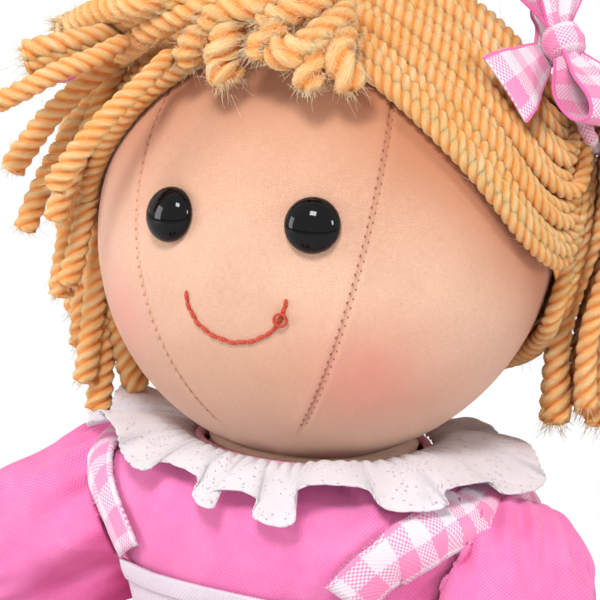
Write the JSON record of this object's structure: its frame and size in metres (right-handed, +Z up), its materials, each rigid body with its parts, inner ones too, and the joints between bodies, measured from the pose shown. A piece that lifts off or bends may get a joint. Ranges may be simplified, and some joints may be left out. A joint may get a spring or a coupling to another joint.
{
  "type": "rag doll",
  "caption": "Seated stuffed cloth rag doll with button eyes, stitched smile, yarn hair in tied bunches, puff-sleeved dress, lace collar and apron.",
  "frame": {"origin": "middle of the flat seat under the body, on the surface the doll sits on", "axes": "+Z up, the doll faces -Y, its left side is +X"},
  "size_m": [0.1973, 0.226, 0.2179],
  "materials": {
    "skin_cloth": "plain-woven cotton, peach",
    "stuffing": "polyester fibre, off-white",
    "mouth_thread": "embroidery thread, red",
    "hair_yarn": "thick twisted acrylic yarn, golden orange",
    "gingham_pink": "woven gingham check, pink on white",
    "dress_pink": "satin-weave cotton, bright pink",
    "lace_white": "embroidered lace, white",
    "apron_white": "plain-woven cotton, white",
    "sock_white": "fine knit, white",
    "shoe_pink": "felt, rose pink",
    "eye_black": "polished black, domed",
    "washer_white": "moulded, off-white",
    "button_white": "moulded, white"
  },
  "bodies": {
    "body": {"torso": "skin_cloth", "bodice": "dress_pink", "neck_binding": "dress_pink", "lace_collar": "lace_white", "skirt": "dress_pink", "apron_skirt": "apron_white", "apron_bib": "apron_white", "bib_hem": "apron_white", "apron_waistband": "apron_white", "apron_bow": "apron_white", "apron_knot": "apron_white", "apron_tails": "apron_white", "strap_left": "gingham_pink", "strap_right": "gingham_pink"},
    "neck": {"neck": "skin_cloth"},
    "head": {"head_stuffing": "stuffing", "face_panel": "skin_cloth", "head_side_left": "skin_cloth", "head_side_right": "skin_cloth", "eye_left": "eye_black", "eye_right": "eye_black", "eye_washer_left": "washer_white", "eye_washer_right": "washer_white", "mouth_stitching": "mouth_thread", "hair_left": "hair_yarn", "hair_right": "hair_yarn", "fringe": "hair_yarn", "hair_tie_left": "gingham_pink", "hair_tie_right": "gingham_pink", "bow_left": "gingham_pink", "bow_right": "gingham_pink", "bow_knot_left": "gingham_pink", "bow_knot_right": "gingham_pink", "bow_tails_left": "gingham_pink", "bow_tails_right": "gingham_pink"},
    "arm_left": {"arm_left": "skin_cloth", "sleeve_left": "dress_pink", "sleeve_cuff_left": "dress_pink"},
    "leg_left": {"leg_left": "skin_cloth", "bloomers_left": "apron_white", "sock_left": "sock_white", "shoe_left": "shoe_pink", "shoe_sole_left": "shoe_pink", "shoe_strap_left": "shoe_pink", "shoe_button_left": "button_white"},
    "bunch_left": {"pigtail_left": "hair_yarn"},
    "arm_right": {"arm_right": "skin_cloth", "sleeve_right": "dress_pink", "sleeve_cuff_right": "dress_pink"},
    "leg_right": {"leg_right": "skin_cloth", "bloomers_right": "apron_white", "sock_right": "sock_white", "shoe_right": "shoe_pink", "shoe_sole_right": "shoe_pink", "shoe_strap_right": "shoe_pink", "shoe_button_right": "button_white"},
    "bunch_right": {"pigtail_right": "hair_yarn"}
  },
  "joints": [
    {"name": "head_nod", "type": "hinge", "parent": "body", "child": "neck", "pos_m": [0, 0, 0.0985], "axis": [1, 0, 0], "range_deg": [-8, 4], "stiffness_Nm_per_rad": 0.6},
    {"name": "head_turn", "type": "hinge", "parent": "neck", "child": "head", "pos_m": [0, 0, 0.0985], "axis": [0, 0, 1], "range_deg": [-20, 20], "stiffness_Nm_per_rad": 0.3},
    {"name": "arm_left_lift", "type": "hinge", "parent": "body", "child": "arm_left", "pos_m": [0.054, 0, 0.075], "axis": [0, -1, 0], "range_deg": [0, 60], "stiffness_Nm_per_rad": 0.07},
    {"name": "arm_right_lift", "type": "hinge", "parent": "body", "child": "arm_right", "pos_m": [-0.054, 0, 0.075], "axis": [0, 1, 0], "range_deg": [-4, 50], "stiffness_Nm_per_rad": 0.07},
    {"name": "leg_left_swing", "type": "hinge", "parent": "body", "child": "leg_left", "pos_m": [0.0195, -0.022, 0.016], "axis": [1, 0, 0], "range_deg": [-4, 85]},
    {"name": "leg_right_swing", "type": "hinge", "parent": "body", "child": "leg_right", "pos_m": [-0.0195, -0.022, 0.016], "axis": [1, 0, 0], "range_deg": [-4, 85]},
    {"name": "bunch_left_swing", "type": "hinge", "parent": "head", "child": "bunch_left", "pos_m": [0.05103, 0.02144, 0.17849], "axis": [0, -1, 0], "range_deg": [0, 20]},
    {"name": "bunch_right_swing", "type": "hinge", "parent": "head", "child": "bunch_right", "pos_m": [-0.05685, 0.01314, 0.17168], "axis": [0, 1, 0], "range_deg": [0, 20]}
  ]
}
